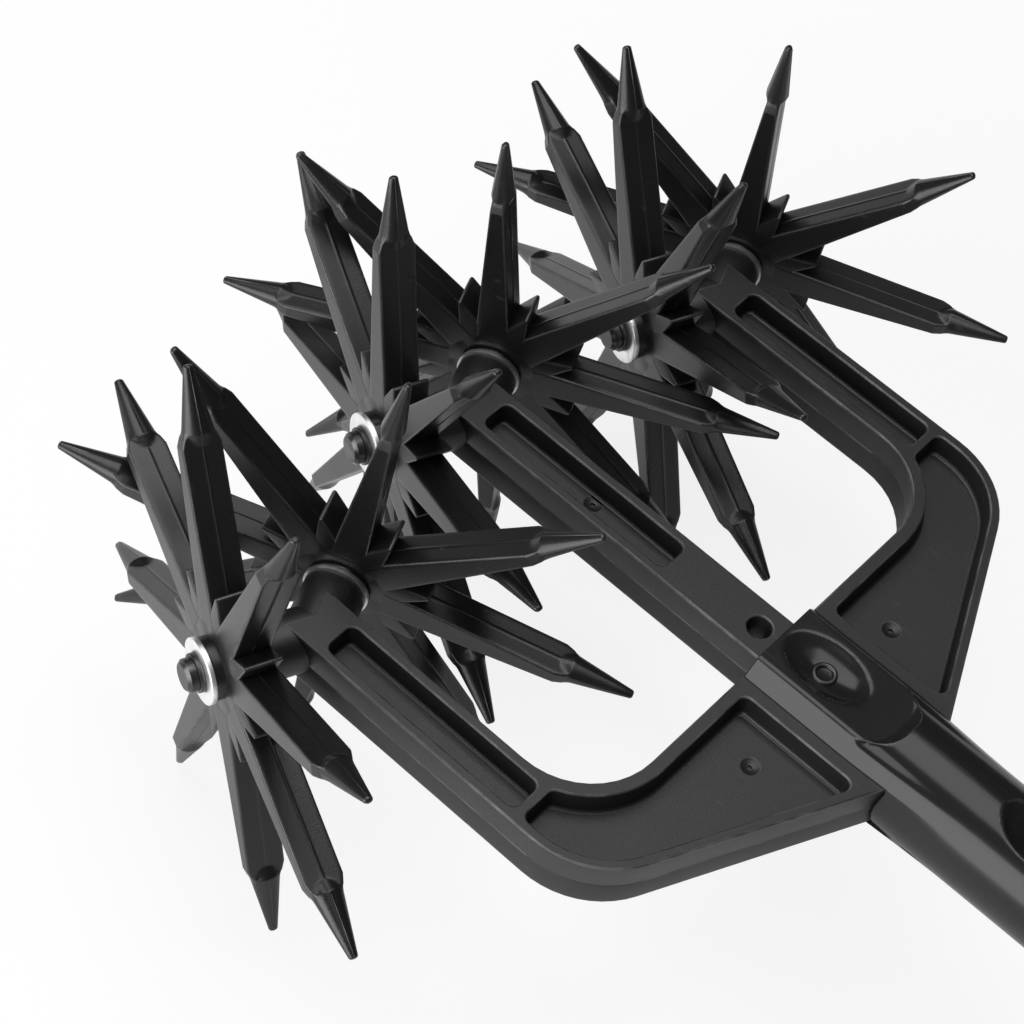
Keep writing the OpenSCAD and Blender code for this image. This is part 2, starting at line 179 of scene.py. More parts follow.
def turned(mesh, profile, place, steps):
    """Turns a profile of radii and heights about an axis."""
    verts = [mesh.verts.new((radius, 0, height)) for radius, height in profile]
    edges = [mesh.edges.new(pair) for pair in zip(verts, verts[1:])]
    bmesh.ops.spin(mesh, geom=verts + edges, axis=(0, 0, 1), cent=(0, 0, 0), angle=2 * pi,
                   steps=steps, use_merge=True)
    shape, reach = set(verts), list(verts)
    while reach:
        for edge in reach.pop().link_edges:
            fresh = [vert for vert in edge.verts if vert not in shape]
            shape.update(fresh)
            reach += fresh
    bmesh.ops.transform(mesh, matrix=place, verts=list(shape))


def mirrored(mesh, start, axis):
    """Adds the mirror image of all that was made after the first so many vertices."""
    mesh.verts.ensure_lookup_table()
    verts = list(mesh.verts[start:])
    shape = set(verts)
    rest = [item for item in [*mesh.edges, *mesh.faces] if shape.issuperset(item.verts)]
    bmesh.ops.mirror(mesh, geom=verts + rest, axis=axis, merge_dist=1e-5)


def quarter_round(inset, height, radius, start, steps=3):
    """Insets and heights along a quarter of a circle, from an angle on for ninety degrees back."""
    angles = [radians(start - 90 * k / steps) for k in range(steps + 1)]
    return [(inset + radius * cos(a), height + radius * sin(a)) for a in angles]


def fork_edge():
    """Outer wall of the upper half, from the parting line up to the face."""
    rounding = quarter_round(EDGE_R, FORK_HALF_T - EDGE_R, EDGE_R, 180)
    return [(PARTING_DEPTH, 0), (0, 2 * PARTING_DEPTH), (0, FORK_HALF_T - EDGE_R - EDGE_LEAD)] + rounding


def fork_lip():
    """Rounding at the mouth of a pocket or a hole, from the face down."""
    return quarter_round(-EDGE_R, FORK_HALF_T - EDGE_R, EDGE_R, 90)


def pocket_edge():
    """Wall of a pocket, from the face down to the web."""
    foot = WEB_HALF_T + POCKET_FILLET
    wall = [(0, FORK_HALF_T - EDGE_R - EDGE_LEAD), (POCKET_DRAFT, foot + EDGE_LEAD)]
    fillet = quarter_round(POCKET_DRAFT + POCKET_FILLET, foot, POCKET_FILLET, 270)[::-1]
    return fork_lip() + wall + fillet


def arm_nose(x, y):
    """Front end of an arm, which runs along the crests of its two bosses, from right to left."""
    lead = NOSE_LAP / cos(AXLE_SWEEP)
    reach = lead + ARM_HALF_W * tan(AXLE_SWEEP)
    return [(x + ARM_HALF_W, y + reach, 0), (x, y + lead, 0), (x - ARM_HALF_W, y + reach, 0)]


def arm_pocket(x, back_y, front_y):
    half = ARM_HALF_W - RIM_W
    return rounded([(x - half, back_y, POCKET_R), (x + half, back_y, POCKET_R),
                    (x + half, front_y, POCKET_R), (x - half, front_y, POCKET_R)])


def plate_pocket():
    """Pocket of the right plate, whose inner wall follows the plate's rounding until it meets the rib."""
    wall_r = PLATE_INNER_R + FRONT_RIM_W
    middle = Vector((INNER_X - PLATE_INNER_R, PLATE_Y + PLATE_INNER_R))
    front_y, top_y, right_x = PLATE_Y - FRONT_RIM_W, RIB_Y - RIM_W / 2, OUTER_X - RIM_W
    drop = middle.y - top_y + POCKET_R
    turn = Vector((middle.x + sqrt((wall_r + POCKET_R) ** 2 - drop ** 2), top_y - POCKET_R))
    meet = atan2(turn.y - middle.y, turn.x - middle.x)
    straight = rounded([(turn.x, top_y, 0), (right_x, top_y, POCKET_R),
                        (right_x, rear_y(right_x, RIM_W), PLATE_CORNER_R - RIM_W),
                        (PLATE_POCKET_X, rear_y(PLATE_POCKET_X, RIM_W), POCKET_R),
                        (PLATE_POCKET_X, front_y, POCKET_R), (middle.x, front_y, 0)])
    wall = arc(middle, wall_r, -pi / 2, meet, steps=12)
    corner = arc(turn, POCKET_R, meet + pi, pi / 2, steps=8)[:-1]
    return straight + wall + corner


def half_slab(mesh, outline, pockets, holes=()):
    """Upper half of a moulded slab, with pockets down to the web and holes right through."""
    top = swept(mesh, outline, fork_edge())[1]
    for pocket, gate in pockets:
        rim, floor = swept(mesh, pocket, pocket_edge())
        if gate:
            dish, pit = swept(mesh, circle(*gate, GATE_R), GATE_EDGE)
            bmesh.ops.triangle_fill(mesh, edges=pit, use_beauty=True)
            floor += dish
        bmesh.ops.triangle_fill(mesh, edges=floor, use_beauty=True)
        top += rim
    for hole in holes:
        top += swept(mesh, hole, [(0, 0)] + fork_lip()[::-1])[1]
    bmesh.ops.triangle_fill(mesh, edges=top, use_beauty=True)


class Tone:
    """A socket that takes part in sums, each of which adds a Math node."""

    def __init__(self, finish, socket):
        self.finish, self.socket = finish, socket

    def math(self, operation, first, second):
        return self.finish.node("ShaderNodeMath", {"operation": operation}, {0: first, 1: second})

    def __add__(self, other):
        return self.math("ADD", self, other)

    def __sub__(self, other):
        return self.math("SUBTRACT", self, other)

    def __rsub__(self, other):
        return self.math("SUBTRACT", other, self)

    def __mul__(self, other):
        return self.math("MULTIPLY", self, other)

    __radd__, __rmul__ = __add__, __mul__


class Finish:
    """A material or the world, and the one way in which its nodes are made."""

    def __init__(self, owner):
        self.owner = owner
        owner.use_nodes = True
        self.tree = owner.node_tree
        self.tree.nodes.clear()

    def node(self, kind, settings=None, sockets=None, out=0):
        node = self.tree.nodes.new(kind)
        for key, value in (settings or {}).items():
            if key == "stops":
                for stop, (place, colour) in zip(node.color_ramp.elements, value):
                    stop.position, stop.color = place, colour
            else:
                setattr(node, key, value)
        for key, value in (sockets or {}).items():
            if isinstance(value, Tone):
                self.tree.links.new(value.socket, node.inputs[key])
            else:
                node.inputs[key].default_value = value
        return Tone(self, node.outputs[out]) if node.outputs else None

    def spot(self, stretch=(1, 1, 1)):
        """Place on the piece, in metres, stretched along each axis."""
        spot = self.node("ShaderNodeTexCoord", out="Object")
        return self.node("ShaderNodeMapping", {}, {"Vector": spot, "Scale": stretch})

    def noise(self, scale, detail, stretch=(1, 1, 1)):
        sockets = {"Vector": self.spot(stretch), "Scale": scale, "Detail": detail}
        return self.node("ShaderNodeTexNoise", {}, sockets)

    def patches(self, tone, low, high):
        stops = [(low, (0, 0, 0, 1)), (high, (1, 1, 1, 1))]
        return self.node("ShaderNodeValToRGB", {"stops": stops}, {"Fac": tone})

    def eased(self, tone, low, high, least=0):
        """Rises from a least value to one as a tone goes from low to high."""
        sockets = {"Value": tone, "From Min": low, "From Max": high, "To Min": least}
        return self.node("ShaderNodeMapRange", {"interpolation_type": "SMOOTHSTEP"}, sockets)

    def blend(self, share, first, second):
        return self.node("ShaderNodeMix", {"data_type": "RGBA"}, {0: share, 6: first, 7: second}, 2)

    def bump(self, height, depth):
        return self.node("ShaderNodeBump", {}, {"Height": height, "Distance": depth})

    def wear(self, least=0.35):
        """Rubbed edges, patchy along their length, where finished() has marked the faces."""
        edges = self.node("ShaderNodeAttribute", {"attribute_name": "worn"}, out="Fac")
        patchy = self.patches(self.noise(scale=170, detail=4), 0.42, 0.62)
        return edges * (least + (1 - least) * patchy)

    def surface(self, **sockets):
        named = {key.replace("_", " "): value for key, value in sockets.items()}
        shader = self.node("ShaderNodeBsdfPrincipled", {}, named)
        self.node("ShaderNodeOutputMaterial", {}, {"Surface": shader})
        return self.owner


SCUFF_GREY = (0.09, 0.09, 0.092, 1)
# Grey of rubbed edges on the mouldings, which also paints a highlight line along them
RUBBED_AND_HIGHLIGHT_GREY = (0.16, 0.16, 0.163, 1)


def moulded_black(name, dark, pale, gloss, grain_size, grain_depth, rubbed):
    """Satin black moulding: fine spark-eroded grain, slow changes of tone, a few pale scuffs, and pale
    edges that are partly rubbed and partly a painted highlight line.
    """
    finish = Finish(bpy.data.materials.new(name))
    grain = finish.noise(scale=1 / (grain_size * MM), detail=3)
    cloud = finish.noise(scale=38, detail=4)
    scuffs = finish.patches(finish.noise(scale=420, detail=6, stretch=(1, 0.35, 1)), 0.66, 0.78)
    base = finish.blend(cloud * 0.7 + grain * 0.3, (*dark, 1), (*pale, 1))
    base = finish.blend(scuffs * 0.25, base, SCUFF_GREY)
    wear = finish.wear()
    # Edges lightened by the rubbed share: partly wear, partly a painted highlight along each edge
    base = finish.blend(wear * rubbed, base, RUBBED_AND_HIGHLIGHT_GREY)
    rough = gloss + (cloud - 0.5) * 0.16 + (grain - 0.5) * 0.14 + scuffs * 0.08 - wear * 0.06
    return finish.surface(Base_Color=base, Roughness=rough, Normal=finish.bump(grain, grain_depth * MM))


# Narrow faces between bends of at least this angle, up to this width, are marked as worn edges. The
# finishes lighten them as wear, and on the mouldings and the tube's paint also as a painted highlight
# line
WORN_BEND = radians(10)
WORN_WIDTH = 0.7
# A face whose normal has at least this much of Z in it lies level and is shaded flat
LEVEL_Z = 0.9999


def finished(name, mesh, body, nodes, material, sharp=32):
    """Turns a mesh in millimetres from the head into a piece that rides on its body."""
    bmesh.ops.remove_doubles(mesh, verts=mesh.verts, dist=1e-4)
    bmesh.ops.recalc_face_normals(mesh, faces=mesh.faces)
    mesh.normal_update()
    worn = mesh.faces.layers.float.new("worn")
    for face in mesh.faces:
        bends = [edge for edge in face.edges if edge.is_convex and edge.calc_face_angle(0) > WORN_BEND]
        width = face.calc_area() / max(edge.calc_length() for edge in face.edges)
        face[worn] = float(len(face.verts) == 4 and len(bends) > 1 and width < WORN_WIDTH)
    bmesh.ops.transform(mesh, matrix=Matrix.Scale(MM, 4) @ Matrix.Translation(HEAD), verts=mesh.verts)
    data = bpy.data.meshes.new(name)
    mesh.to_mesh(data)
    mesh.free()
    data.shade_smooth()
    data.set_sharp_from_angle(angle=radians(sharp))
    for face in data.polygons:
        face.use_smooth = abs(face.normal.z) < LEVEL_Z
    data.materials.append(material)
    piece = bpy.data.objects.new(name, data)
    bpy.context.scene.collection.objects.link(piece)
    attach(piece, body)
    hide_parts(*nodes)
    return piece


fork_mesh = bmesh.new()
centre_front = CENTRE_LEAD - POCKET_BACK
half_slab(
    fork_mesh,
    rounded([(-ARM_HALF_W, TANG_Y, TANG_CORNER_R), (ARM_HALF_W, TANG_Y, TANG_CORNER_R),
             *arm_nose(0, CENTRE_LEAD)]),
    [(arm_pocket(0, centre_front - CENTRE_POCKET_LEN, centre_front), CENTRE_GATE)],
    [circle(0, ARM_HOLE_Y, ARM_HOLE_R)],
)
side_start = len(fork_mesh.verts)
half_slab(
    fork_mesh,
    rounded([(PLATE_FROM_X, PLATE_Y, 0), (INNER_X, PLATE_Y, PLATE_INNER_R), *arm_nose(ARM_X, 0)[::-1],
             (OUTER_X, rear_y(OUTER_X), PLATE_CORNER_R), (PLATE_FROM_X, rear_y(PLATE_FROM_X), 0)]),
    [(plate_pocket(), PLATE_GATE), (arm_pocket(ARM_X, RIB_Y + RIM_W / 2, -POCKET_BACK), None)],
)
mirrored(fork_mesh, side_start, "X")
mirrored(fork_mesh, 0, "Z")
boss = [(0, 0), (BOSS_R, 0), *quarter_round(BOSS_R - EDGE_R, BOSS_END - EDGE_R, EDGE_R, 90)[::-1],
        (AXLE_R + AXLE_FIT, BOSS_END), (AXLE_R + AXLE_FIT, BOSS_END - SOCKET_DEPTH),
        (0, BOSS_END - SOCKET_DEPTH)]
for wheel in range(1, 7):
    turned(fork_mesh, boss, stub_frame(wheel), steps=64)
# rubbed sets how far the edges are lightened, as wear and as a painted highlight line
FORK_BLACK = moulded_black("fork_black", (0.006, 0.006, 0.0062), (0.012, 0.012, 0.0123),
                           gloss=0.42, grain_size=0.32, grain_depth=0.05, rubbed=0.45)
finished("fork_moulding", fork_mesh, "frame", ["fork"], FORK_BLACK)

# Axles: a steel rod bent at the middle of each arm, blackened, with a groove near each end for its
# clip and a chamfered end face.
AXLE_END = 32.2
BEND_LAP = 2
CLIP_AT = 28.35
CLIP_T = 1.2
GROOVE_R = 3.4
GROOVE_FIT = 0.05
AXLE_CHAMFER = 0.8
BARE_STEEL = (0.22, 0.22, 0.225, 1)


def dark_steel(name, dark, pale, gloss):
    """Blackened steel: a thin dark oxide over bright metal, with turning marks and rubbed spots."""
    finish = Finish(bpy.data.materials.new(name))
    marks = finish.noise(scale=2200, detail=2)
    rubbed = finish.patches(finish.noise(scale=160, detail=5), 0.52, 0.74)
    base = finish.blend(rubbed * 0.5 + marks * 0.2, (*dark, 1), (*pale, 1))
    wear = finish.wear()
    base = finish.blend(wear * 0.3, base, BARE_STEEL)
    rough = gloss + (marks - 0.5) * 0.18 - rubbed * 0.08 - wear * 0.06
    normal = finish.bump(marks, 0.008 * MM)
    return finish.surface(Base_Color=base, Metallic=0.9, Roughness=rough, Normal=normal)


groove_from, groove_to = CLIP_AT - GROOVE_FIT, CLIP_AT + CLIP_T + GROOVE_FIT
stub = [(0, -BEND_LAP), (AXLE_R, -BEND_LAP), (AXLE_R, groove_from), (GROOVE_R, groove_from),
        (GROOVE_R, groove_to), (AXLE_R, groove_to), (AXLE_R, AXLE_END - AXLE_CHAMFER),
        (AXLE_R - AXLE_CHAMFER, AXLE_END), (0, AXLE_END)]
AXLE_STEEL = dark_steel("axle_steel", (0.035, 0.035, 0.037), (0.16, 0.16, 0.165), 0.36)
for arm in (1, 2, 3):
    axle_mesh = bmesh.new()
    for wheel in (2 * arm - 1, 2 * arm):
        turned(axle_mesh, stub, stub_frame(wheel), steps=40)
    finished(f"bent_axle_{arm}", axle_mesh, "frame", [f"axle_{arm}"], AXLE_STEEL)

# Washers: stamped steel rings, zinc plated to a bright satin, one each side of a wheel. The punch
# leaves one edge rounded and a small chamfer at the bore.
WASHER_R = 8
WASHER_BORE_R = 4.2
WASHER_T = 1.2
WASHER_EDGE_R = 0.25
WASHER_EDGE_MID = 0.08
WASHER_CHAMFER = 0.1
OUTER_WASHER_AT = 27.1
ZINC_BRIGHT = (0.88, 0.88, 0.89, 1)
ZINC_DULL = (0.7, 0.7, 0.72, 1)
ZINC_RUBBED = (0.92, 0.92, 0.93, 1)
zinc = Finish(bpy.data.materials.new("zinc_plate"))
zinc_dull = zinc.patches(zinc.noise(scale=300, detail=5), 0.45, 0.7)
zinc_marks = zinc.noise(scale=3000, detail=2)
zinc_base = zinc.blend(zinc_dull, ZINC_BRIGHT, ZINC_DULL)
ZINC = zinc.surface(
    Base_Color=zinc.blend(zinc.wear() * 0.5, zinc_base, ZINC_RUBBED),
    Metallic=1.0,
    Roughness=0.38 + zinc_dull * 0.12 + (zinc_marks - 0.5) * 0.1,
    Normal=zinc.bump(zinc_marks, 0.006 * MM),
)
washer = [(WASHER_R, 0), (WASHER_R, WASHER_T - WASHER_EDGE_R),
          (WASHER_R - WASHER_EDGE_MID, WASHER_T - WASHER_EDGE_MID), (WASHER_R - WASHER_EDGE_R, WASHER_T),
          (WASHER_BORE_R + WASHER_CHAMFER, WASHER_T), (WASHER_BORE_R, WASHER_T - WASHER_CHAMFER),
          (WASHER_BORE_R, 0), (WASHER_R, 0)]
for wheel in range(1, 7):
    for node, along in ((f"inner_washer_{wheel}", BOSS_END), (f"outer_washer_{wheel}", OUTER_WASHER_AT)):
        washer_mesh = bmesh.new()
        turned(washer_mesh, washer, stub_frame(wheel, along), steps=64)
        finished(f"zinc_{node}", washer_mesh, "frame", [node], ZINC, sharp=50)

# Clips: spring steel rings with an open mouth, stamped and blackened. Each is pushed into the groove
# at an axle's end and holds the wheel and its washers on.
CLIP_R = 4.7
CLIP_BORE_R = 3.45
CLIP_MOUTH = 4
CLIP_EDGE_R = 0.18
CLIP_CORNER = 0.8
CLIP_STEEL = dark_steel("clip_steel", (0.02, 0.02, 0.022), (0.07, 0.07, 0.073), 0.42)
for wheel in range(1, 7):
    clip_mesh = bmesh.new()
    corners = [clip_mesh.verts.new((r, 0, h)) for r, h in
               ((CLIP_BORE_R, 0), (CLIP_R, 0), (CLIP_R, CLIP_T), (CLIP_BORE_R, CLIP_T))]
    face = clip_mesh.faces.new(corners)
    gap = CLIP_MOUTH / CLIP_R
    bmesh.ops.rotate(clip_mesh, verts=corners, matrix=Matrix.Rotation(pi + gap / 2, 3, "Z"))
    bmesh.ops.spin(clip_mesh, geom=[face], axis=(0, 0, 1), cent=(0, 0, 0), angle=2 * pi - gap, steps=40)
    bmesh.ops.recalc_face_normals(clip_mesh, faces=clip_mesh.faces)
    edges = [edge for edge in clip_mesh.edges
             if len(edge.link_faces) == 2 and edge.calc_face_angle() > CLIP_CORNER]
    bmesh.ops.bevel(clip_mesh, geom=edges, offset=CLIP_EDGE_R, offset_type="OFFSET", segments=2,
                    profile=0.5, affect="EDGES", material=-1)
    bmesh.ops.transform(clip_mesh, matrix=stub_frame(wheel, CLIP_AT), verts=clip_mesh.verts)
    finished(f"spring_clip_{wheel}", clip_mesh, "frame", [f"axle_clip_{wheel}"], CLIP_STEEL)

# Tine wheels: black nylon stars of eight flat tines that taper from the hub and end in round points,
# with small teeth between them. A fine parting line runs round the middle of the tines.
TINES = 8
TINE_STEP = 2 * pi / TINES
WHEEL_R = 72.5
TINE_HALF_W = 4.7
TINE_FROM_R = 10.8
TINE_ROOT_R = 16
TINE_ROOT_T = 8.1
TINE_NECK_R = 54
TINE_NECK_T = 3.6
BAR_END_R = 57
POINT_BASE_R = 3.7
POINT_TIP_R = 1.05
POINT_FLAT = 0.74
POINT_FADE = 5
POINT_EASE = 1
TINE_CORNER = 0.5
# A corner takes at most this share of half the tine's thickness
CORNER_SHARE = 0.4
TIP_ROUND = 0.5
TIP_END = 0.55
PARTING_W = 0.22
PARTING_H = 0.12
# Places along the flank and the outer face of a quarter section, as shares of their lengths
FLANK_SHARES = (0.18, 0.34, 0.5, 0.66, 0.82)
FACE_SHARES = (0.75, 0.4)
# Distances from the axle at which a tine's section is drawn, closest where its shape changes
TINE_STATIONS = (TINE_FROM_R, 20, 34, 46, 52, 53, 53.7, TINE_NECK_R, 54.3, 54.9, 55.5, 56.1, 56.4, 56.7,
                 BAR_END_R, 57.3, 57.6, 58, 60, 64, 68, WHEEL_R - TIP_ROUND)
TOOTH_R = 24
RIDGE_R = 0.6
STAR_SINK = 0.02
STAR_EDGE = 0.5
STAR_BORE_R = 5.8
HUB_R = 7.5
HUB_IN = 5.2
HUB_OUT = 6.9
HUB_BORE_R = 4.08
HUB_EDGE = 0.4
EDGE_MID = 0.12
# Degrees that each wheel has turned at rest
WHEEL_TURNS = (-13.5, -4, 18, 8, -13.5, 3.5)


def eased(share):
    share = min(max(share, 0), 1)
    return share * share * (3 - 2 * share)


def tine_quarter(along):
    """Points of a quarter of a tine's section at a distance from the axle, from flank to outer face."""
    taper = (along - TINE_ROOT_R) / (TINE_NECK_R - TINE_ROOT_R)
    thick = (TINE_ROOT_T + (TINE_NECK_T - TINE_ROOT_T) * taper) / 2
    shoulder = min(max((along - TINE_NECK_R) / (BAR_END_R - TINE_NECK_R), 0), 1)
    half_w = TINE_HALF_W + (POINT_BASE_R - TINE_HALF_W) * shoulder
    if along < BAR_END_R:
        radius = POINT_BASE_R - (POINT_BASE_R - TINE_NECK_T / 2) * (BAR_END_R - along) / POINT_FADE
    else:
        radius = POINT_BASE_R + (POINT_TIP_R - POINT_BASE_R) * (along - BAR_END_R) / (WHEEL_R - BAR_END_R)
    roundness = eased((along - BAR_END_R + POINT_EASE) / (2 * POINT_EASE))
    corner = min(TINE_CORNER, thick * CORNER_SHARE)
    flank = [(0, thick + PARTING_H), (PARTING_W, thick)]
    flank += [(share * (half_w - corner), thick) for share in FLANK_SHARES]
    flank += quarter_round(half_w - corner, thick - corner, corner, 90)
    face = [(half_w, share * (thick - corner)) for share in FACE_SHARES] + [(half_w, 0)]
    flat = [(w, max(t, POINT_FLAT * sqrt(max(radius * abs(radius) - w * w, 0)))) for w, t in flank] + face
    angles = [PARTING_W / POINT_BASE_R] + [pi / 2 * k / (len(flat) - 2) for k in range(1, len(flat) - 1)]
    disc = [(0, POINT_FLAT * radius + PARTING_H)]
    disc += [(radius * sin(a), POINT_FLAT * radius * cos(a)) for a in angles]
    return [(fw + (dw - fw) * roundness, ft + (dt - ft) * roundness)
            for (fw, ft), (dw, dt) in zip(flat, disc)]


def tine_section(along, tip):
    """Whole section as points of (distance out, across, along the axle), scaled by a share at the tip."""
    quarter = [(w * tip, t * tip) for w, t in tine_quarter(along)]
    half = quarter + [(w, -t) for w, t in quarter[-2::-1]]
    return [Vector((along, t, w)) for w, t in half] + [Vector((along, t, -w)) for w, t in half[-2:0:-1]]


def tine(mesh, turn):
    """One tine, pulled out from inside the hub through its sections to a blunt rounded end."""
    rings = [(along, 1) for along in TINE_STATIONS]
    rings += [(WHEEL_R - TIP_ROUND * (1 - sin(a)), sqrt(cos(a))) for a in (pi / 6, pi / 3)]
    rings += [(WHEEL_R, TIP_END)]
    place = mesh.verts.layers.int.get("place") or mesh.verts.layers.int.new("place")
    spin = Matrix.Rotation(turn, 3, "Z")
    first = [mesh.verts.new(spin @ point) for point in tine_section(*rings[0])]
    for i, vert in enumerate(first):
        vert[place] = i
    ring = [mesh.edges.new((first[i - 1], first[i])) for i in range(len(first))]
    mesh.faces.new(first)
    for station in rings[1:]:
        section = tine_section(*station)
        ring = extruded(mesh, ring, lambda vert: spin @ section[vert[place]])
    bmesh.ops.contextual_create(mesh, geom=ring)


def star_wheel(low, high):
    """One star wheel about Z, with a tine along +X and a hub between two heights."""
    mesh = bmesh.new()
    for k in range(TINES):
        tine(mesh, k * TINE_STEP)
    apex = Vector((TOOTH_R * cos(TINE_STEP / 2), TOOTH_R * sin(TINE_STEP / 2)))
    inner_r = TINE_ROOT_R - TINE_ROOT_T / 2 * (apex.x - TINE_ROOT_R) / (apex.y - TINE_ROOT_T / 2)
    star = rounded([(r * cos(a), r * sin(a), RIDGE_R) for k in range(TINES) for r, a in
                    ((inner_r, k * TINE_STEP), (TOOTH_R, (k + 0.5) * TINE_STEP))], steps=4)
    half = TINE_HALF_W - STAR_SINK
    edge = [(STAR_EDGE, -half), (EDGE_MID, EDGE_MID - half), (0, STAR_EDGE - half)]
    rims = swept(mesh, star, edge + [(inset, -height) for inset, height in edge[::-1]])
    bores = swept(mesh, circle(0, 0, STAR_BORE_R), [(0, -half), (0, half)])
    for rim, bore in zip(rims, bores):
        bmesh.ops.triangle_fill(mesh, edges=rim + bore, use_beauty=True)
    corner = [(HUB_EDGE, 0), (EDGE_MID, EDGE_MID), (0, HUB_EDGE)]
    hub = [(HUB_BORE_R, low)] + [(HUB_R - inset, low + lift) for inset, lift in corner]
    hub += [(HUB_R - inset, high - lift) for inset, lift in corner[::-1]]
    hub += [(HUB_BORE_R, high), (HUB_BORE_R, low)]
    turned(mesh, hub, Matrix.Identity(4), steps=48)
    return mesh


# rubbed sets how far the edges are lightened, as wear and as a painted highlight line
WHEEL_BLACK = moulded_black("wheel_black", (0.005, 0.005, 0.0052), (0.010, 0.010, 0.0103),
                            gloss=0.33, grain_size=0.4, grain_depth=0.03, rubbed=0.12)
for wheel, turn in enumerate(WHEEL_TURNS, 1):
    side = -1 if wheel % 2 else 1
    wheel_mesh = star_wheel(-HUB_IN, HUB_OUT) if side < 0 else star_wheel(-HUB_OUT, HUB_IN)
    place = (Matrix.Translation(hub_place(wheel) - HEAD) @ Matrix.Rotation(side * AXLE_SWEEP, 4, "Z")
             @ Matrix.Rotation(-pi / 2, 4, "Y") @ Matrix.Rotation(radians(turn), 4, "Z"))
    bmesh.ops.transform(wheel_mesh, matrix=place, verts=wheel_mesh.verts)
    finished(f"star_wheel_{wheel}", wheel_mesh, f"wheel_{wheel}", [f"tine_wheel_{wheel}"],
             WHEEL_BLACK)

# Handle tube: drawn steel tube in gloss black paint. Its front is slit at both sides, pressed to a
# flat above and below the fork, and dimpled where the two rivets pull it down.
TUBE_R = 14.3
TUBE_WALL = 1.4
TUBE_FRONT = -77.3
TUBE_END = -1257.3
SLIT_H = 7.55
SLIT_SHOW = 0.5
SLIT_SKIN = 0.01
FLAT_H = 12
FLAT_HALF_W = 9.8
FLAT_END = -113.3
FLAT_CORNER_R = 8
# Share of the rounding by which the flat's corners draw forward
FLAT_CURL = 0.8
FLAT_EASE = 1.6
# Shares of the section between which the flat gives way to the sloping side of the saddle
BEND_SHARES = (0.55, 0.75)
SADDLE_FADE = (-104, -140)
SADDLE_HALF_W = 13.6
SADDLE_BEND_R = 1.5
RIVET_YS = (-90.2, -152.5)
DIMPLE_HALF = (7.2, 11.7)
DIMPLE_FLOOR = 8.95
# The seat of a dimple ends at this share of its reach, then its cone and its rim rise at these rates
DIMPLE_SEAT = 0.3
DIMPLE_CONE = 1.0
DIMPLE_RIM = 2.1
DIMPLE_BLEND = 0.1
DIMPLE_EASE = 0.07
TOP_COLUMNS = 80
SIDE_COLUMNS = 8
HALF_COLUMNS = TOP_COLUMNS + SIDE_COLUMNS
FINE_ROW = 0.35
FINE_PAST_FLAT = 8
FINE_PAST_DIMPLE = 1.5
PLAIN_ROW = 2
PLAIN_PAST_RIVET = 30
LONG_ROW = 80


def saddle_point(share):
    """Point of the pressed section, from the middle of the flat (0) to the edge of the slit (1)."""
    slope = Vector((SADDLE_HALF_W - FLAT_HALF_W, SLIT_H - FLAT_H))
    turn = Vector((1, 0)).angle(slope)
    cut = SADDLE_BEND_R * tan(turn / 2)
    level, bend = FLAT_HALF_W - cut, SADDLE_BEND_R * turn
    along = share * (level + bend + slope.length - cut)
    if along < level:
        return Vector((along, FLAT_H))
    if along < level + bend:
        bent = (along - level) / SADDLE_BEND_R
        return Vector((level + SADDLE_BEND_R * sin(bent), FLAT_H - SADDLE_BEND_R * (1 - cos(bent))))
    return Vector((FLAT_HALF_W, FLAT_H)) + slope.normalized() * (cut + along - level - bend)


def lesser(first, second, ease):
    """The lesser of two values, with the crossing rounded off."""
    return (first + second - hypot(first - second, ease)) / 2


def dimpled(x, y, height):
    """Height of the tube's skin after the rivets have pulled it down."""
    for rivet_y in RIVET_YS:
        reach = hypot(x / DIMPLE_HALF[0], (y - rivet_y) / DIMPLE_HALF[1])
        cone = 1 - (reach - DIMPLE_SEAT) * DIMPLE_CONE
        depth = lesser(lesser(cone, (1 - reach) * DIMPLE_RIM, DIMPLE_BLEND), 1, DIMPLE_BLEND)
        height += (height - DIMPLE_FLOOR) * lesser(-depth, 0, DIMPLE_EASE)
    return height


def pressed_point(share, y, edge_angle):
    """Point of the upper skin between the two slits, from the left edge (-1) to the right edge (1)."""
    bare = Vector((TUBE_R * sin(share * edge_angle), TUBE_R * cos(share * edge_angle)))
    pressed = saddle_point(abs(share))
    pressed.x *= 1 if share > 0 else -1
    corner_x = max(abs(pressed.x) - FLAT_HALF_W + FLAT_CORNER_R, 0)
    curl = FLAT_CORNER_R - sqrt(max(FLAT_CORNER_R ** 2 - corner_x ** 2, 0))
    press = eased((y - FLAT_END - curl * FLAT_CURL + FLAT_EASE) / (2 * FLAT_EASE))
    side = eased((abs(share) - BEND_SHARES[0]) / (BEND_SHARES[1] - BEND_SHARES[0]))
    press += (eased((y - SADDLE_FADE[1]) / (SADDLE_FADE[0] - SADDLE_FADE[1])) - press) * side
    spot = bare.lerp(pressed, press)
    spot.y = dimpled(spot.x, y, spot.y)
    return spot


def tube_point(column, y):
    """Point of the tube's outer skin in a column counted round from the left slit edge."""
    edge_angle = pi / 2 - atan2(SLIT_H, sqrt(TUBE_R ** 2 - SLIT_H ** 2))
    lower, column = divmod(column, HALF_COLUMNS)
    if column < TOP_COLUMNS:
        spot = pressed_point(2 * column / TOP_COLUMNS - 1, y, edge_angle)
    else:
        angle = edge_angle + (pi - 2 * edge_angle) * (column - TOP_COLUMNS) / SIDE_COLUMNS
        spot = Vector((TUBE_R * sin(angle), TUBE_R * cos(angle)))
    if lower:
        spot = -spot
    return Vector((spot.x, y, spot.y))


